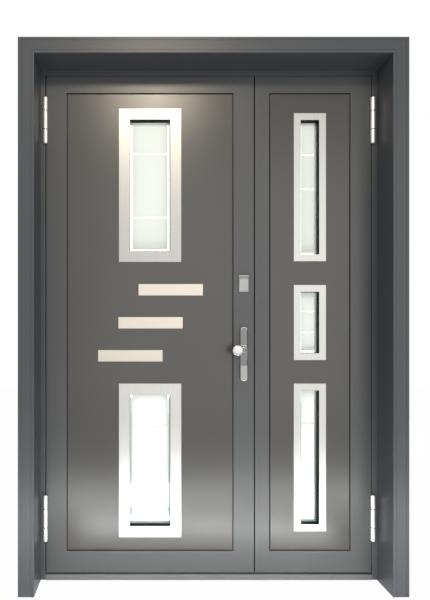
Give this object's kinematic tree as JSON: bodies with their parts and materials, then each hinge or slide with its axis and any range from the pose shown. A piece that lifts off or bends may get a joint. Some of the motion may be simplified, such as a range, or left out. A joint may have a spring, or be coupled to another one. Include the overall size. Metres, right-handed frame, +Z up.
{
  "type": "entry door",
  "caption": "Unequal double-leaf entry door in a wrap-around steel frame, with slim frosted windows, stainless trim bars, and an offset pull knob beside the lock plate.",
  "frame": {"origin": "middle of the frame on the floor line, in the plane halfway through the leaves' thickness", "axes": "+X to the right seen from outside, +Y into the building, +Z up"},
  "size_m": [1.588, 0.2415, 2.272],
  "materials": {
    "frame_paint": "anthracite powder coat, fine satin",
    "leaf_paint": "anthracite powder coat, fine satin",
    "panel_paint": "warm anthracite lacquer, smooth semi-gloss",
    "brushed_stainless": "brushed stainless steel, grain along each bar",
    "polished_stainless": "satin to bright stainless steel",
    "hinge_metal": "satin nickel",
    "lock_steel": "zinc-plated steel",
    "cylinder_brass": "nickel-plated brass",
    "frosted_glass": "double glazing with a frosted outer pane",
    "spacer_metal": "mill aluminium",
    "black_seal": "black EPDM",
    "sill_aluminium": "dark anodised aluminium",
    "honeycomb": "honeycomb board",
    "galvanised": "galvanised"
  },
  "bodies": {
    "frame": {"left_jamb": "frame_paint", "right_jamb": "frame_paint", "head": "frame_paint", "threshold": "sill_aluminium", "frame_gasket": "black_seal", "wall_anchors": "galvanised", "bolt_keeps": "lock_steel", "left_hinge_frame_leaves": "hinge_metal", "right_hinge_frame_leaves": "hinge_metal", "hinge_pins": "hinge_metal"},
    "main_leaf": {"main_core": "honeycomb", "main_glass_panes": "frosted_glass", "main_glass_spacers": "spacer_metal", "main_glazing_seals": "black_seal", "main_inner_glazing_frames": "brushed_stainless", "main_inner_panel": "panel_paint", "main_leaf_frame": "leaf_paint", "main_lower_glazing_frame": "brushed_stainless", "main_outer_panel": "panel_paint", "main_upper_glazing_frame": "brushed_stainless", "left_hinge_door_leaves": "hinge_metal", "trim_bars": "brushed_stainless", "meeting_seal": "black_seal", "lock_cases": "lock_steel", "lock_faceplates": "lock_steel", "key_cylinder": "cylinder_brass", "outside_escutcheon": "brushed_stainless", "offset_knob": "polished_stainless", "upper_lock_plate": "brushed_stainless", "flap_pin": "lock_steel", "inside_escutcheon": "brushed_stainless", "upper_inside_rose": "brushed_stainless"},
    "narrow_leaf": {"narrow_core": "honeycomb", "narrow_glass_panes": "frosted_glass", "narrow_glass_spacers": "spacer_metal", "narrow_glazing_seals": "black_seal", "narrow_inner_glazing_frames": "brushed_stainless", "narrow_inner_panel": "panel_paint", "narrow_leaf_frame": "leaf_paint", "narrow_lower_glazing_frame": "brushed_stainless", "narrow_middle_glazing_frame": "brushed_stainless", "narrow_outer_panel": "panel_paint", "narrow_upper_glazing_frame": "brushed_stainless", "right_hinge_door_leaves": "hinge_metal", "strike_plates": "lock_steel", "strike_case": "lock_steel", "keeper_pin": "lock_steel", "flush_bolt_faces": "lock_steel"},
    "lever": {"lever_handle": "polished_stainless", "lever_spindle": "lock_steel"},
    "latch": {"latch_bolt": "lock_steel"},
    "main_turn": {"main_thumb_turn": "polished_stainless"},
    "main_bolts": {"main_deadbolts": "lock_steel"},
    "upper_turn": {"upper_thumb_turn": "polished_stainless"},
    "upper_bolts": {"upper_deadbolts": "lock_steel"},
    "key_flap": {"key_cover": "brushed_stainless"},
    "upper_flap": {"upper_lock_cover": "brushed_stainless"},
    "keeper": {"strike_keeper": "lock_steel"},
    "top_bolt": {"top_flush_bolt": "lock_steel"},
    "bottom_bolt": {"bottom_flush_bolt": "lock_steel"}
  },
  "joints": [
    {"name": "main_leaf_swing", "type": "hinge", "parent": "frame", "child": "main_leaf", "pos_m": [-0.706, -0.0397, 1.107], "axis": [0, 0, -1], "range_deg": [0, 100]},
    {"name": "narrow_leaf_swing", "type": "hinge", "parent": "frame", "child": "narrow_leaf", "pos_m": [0.706, -0.0397, 1.107], "axis": [0, 0, 1], "range_deg": [0, 100]},
    {"name": "lever_press", "type": "hinge", "parent": "main_leaf", "child": "lever", "pos_m": [0.15, 0.05, 0.997], "axis": [0, -1, 0], "range_deg": [0, 40], "stiffness_Nm_per_rad": 1.2},
    {"name": "latch_draw", "type": "slide", "parent": "main_leaf", "child": "latch", "axis": [-1, 0, 0], "range_m": [0, 0.0087]},
    {"name": "main_turn_turn", "type": "hinge", "parent": "main_leaf", "child": "main_turn", "pos_m": [0.15, 0.04, 0.905], "axis": [0, 1, 0], "range_deg": [0, 360]},
    {"name": "main_bolts_throw", "type": "slide", "parent": "main_leaf", "child": "main_bolts", "axis": [1, 0, 0], "range_m": [0, 0.026]},
    {"name": "upper_turn_turn", "type": "hinge", "parent": "main_leaf", "child": "upper_turn", "pos_m": [0.15, 0.04, 1.284], "axis": [0, 1, 0], "range_deg": [0, 360]},
    {"name": "upper_bolts_throw", "type": "slide", "parent": "main_leaf", "child": "upper_bolts", "axis": [1, 0, 0], "range_m": [0, 0.026]},
    {"name": "key_cover_swing", "type": "hinge", "parent": "main_leaf", "child": "key_flap", "pos_m": [0.15, -0.0395, 0.923], "axis": [0, 1, 0], "range_deg": [0, 95]},
    {"name": "upper_flap_lift", "type": "hinge", "parent": "main_leaf", "child": "upper_flap", "pos_m": [0.15, -0.0393, 1.309], "axis": [-1, 0, 0], "range_deg": [0, 75]},
    {"name": "keeper_swing", "type": "hinge", "parent": "narrow_leaf", "child": "keeper", "pos_m": [0.21, -0.01, 1.04], "axis": [0, 0, -1], "range_deg": [0, 90]},
    {"name": "top_bolt_throw", "type": "slide", "parent": "narrow_leaf", "child": "top_bolt", "axis": [0, 0, 1], "range_m": [0, 0.015]},
    {"name": "bottom_bolt_throw", "type": "slide", "parent": "narrow_leaf", "child": "bottom_bolt", "axis": [0, 0, -1], "range_m": [0, 0.015]}
  ],
  "couplings": [
    {"joint": "latch_draw", "follows": "lever_press", "m_per_rad": 0.012449},
    {"joint": "main_turn_turn", "follows": "main_bolts_throw", "rad_per_m": 241.42},
    {"joint": "upper_turn_turn", "follows": "upper_bolts_throw", "rad_per_m": 241.42}
  ]
}
